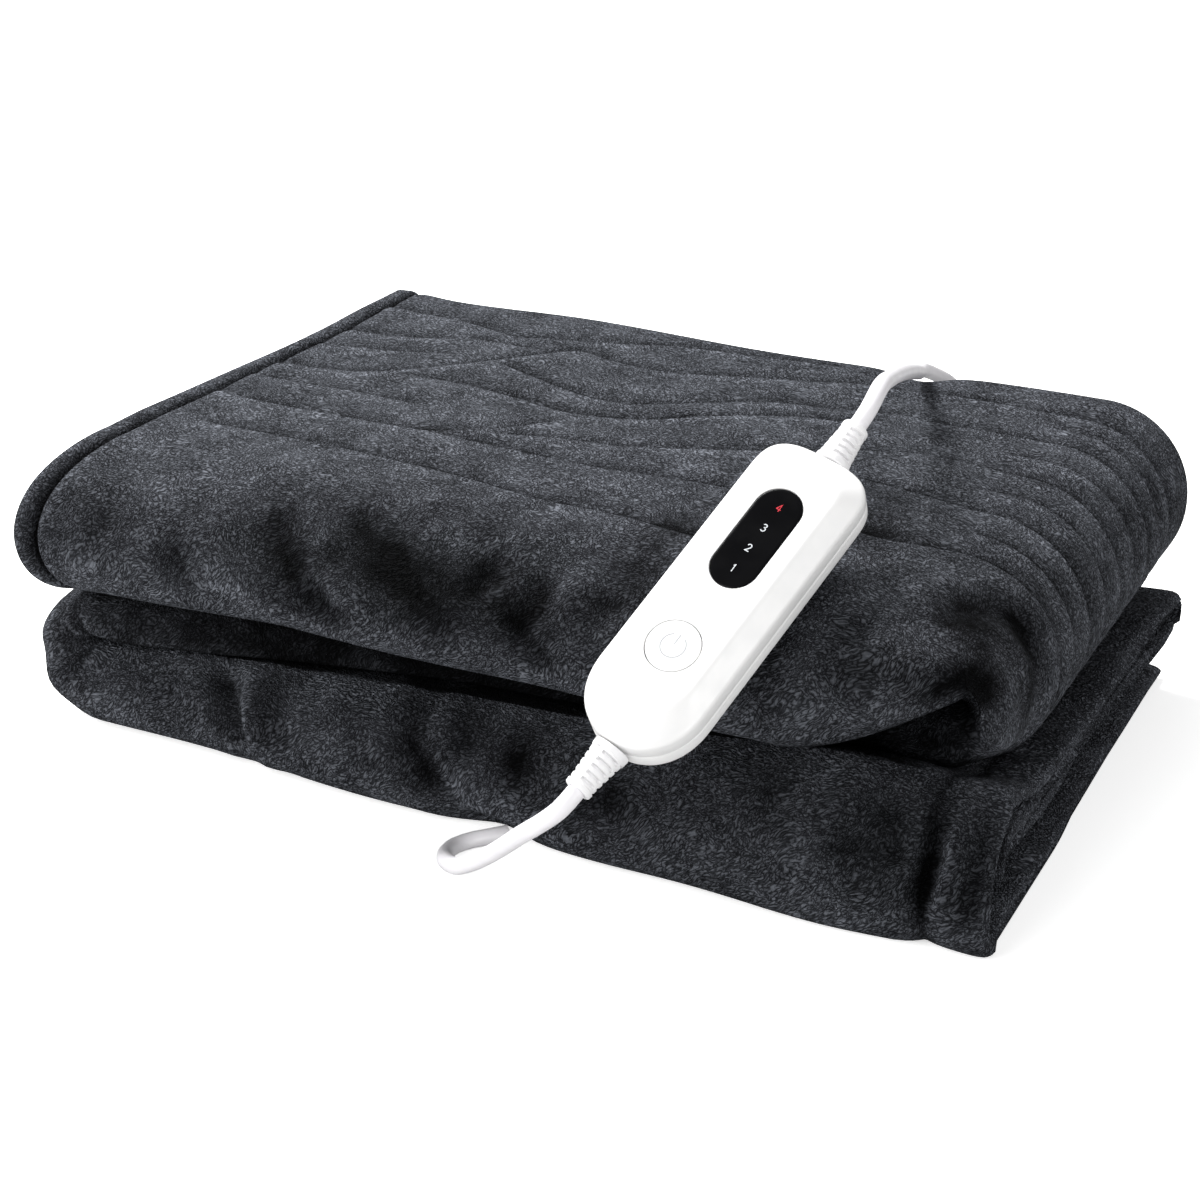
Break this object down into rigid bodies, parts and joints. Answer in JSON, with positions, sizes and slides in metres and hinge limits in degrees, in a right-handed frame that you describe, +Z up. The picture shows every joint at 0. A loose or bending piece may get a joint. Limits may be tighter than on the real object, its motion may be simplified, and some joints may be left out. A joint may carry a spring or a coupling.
{
  "type": "electric heated blanket",
  "caption": "Folded plush heated blanket with sewn wire channels, lying flat, with a hand controller, its button and cords with a plug.",
  "frame": {"origin": "middle of the folded stack's base, on the surface that it lies on", "axes": "+X along the front from the left hem to the right wrap, +Y to the back of the stack, +Z up"},
  "size_m": [0.4838, 0.5453, 0.2018],
  "materials": {
    "plush": "charcoal short-pile plush",
    "shell": "satin white",
    "window": "gloss black",
    "button": "satin white",
    "sleeve": "matt white, ribbed",
    "cord": "satin white",
    "tie": "black woven strap",
    "plug": "satin white",
    "blade": "nickel plated"
  },
  "bodies": {
    "root": {"blanket": "plush", "controller_base": "shell", "controller_cover": "shell", "display_window": "window", "strain_relief_upper": "sleeve", "strain_relief_lower": "sleeve", "cord_to_blanket": "cord", "cord_mains": "cord", "cord_coil": "cord", "coil_tie": "tie", "cord_lead": "cord", "plug_relief": "sleeve", "plug_body": "plug", "plug_blade_left": "blade", "plug_blade_right": "blade"},
    "button": {"power_button": "button"}
  },
  "joints": [
    {"name": "button_press", "type": "slide", "parent": "root", "child": "button", "axis": [-0.1066, 0.6067, -0.7878], "range_m": [0, 0.0008], "stiffness_N_per_m": 900}
  ]
}
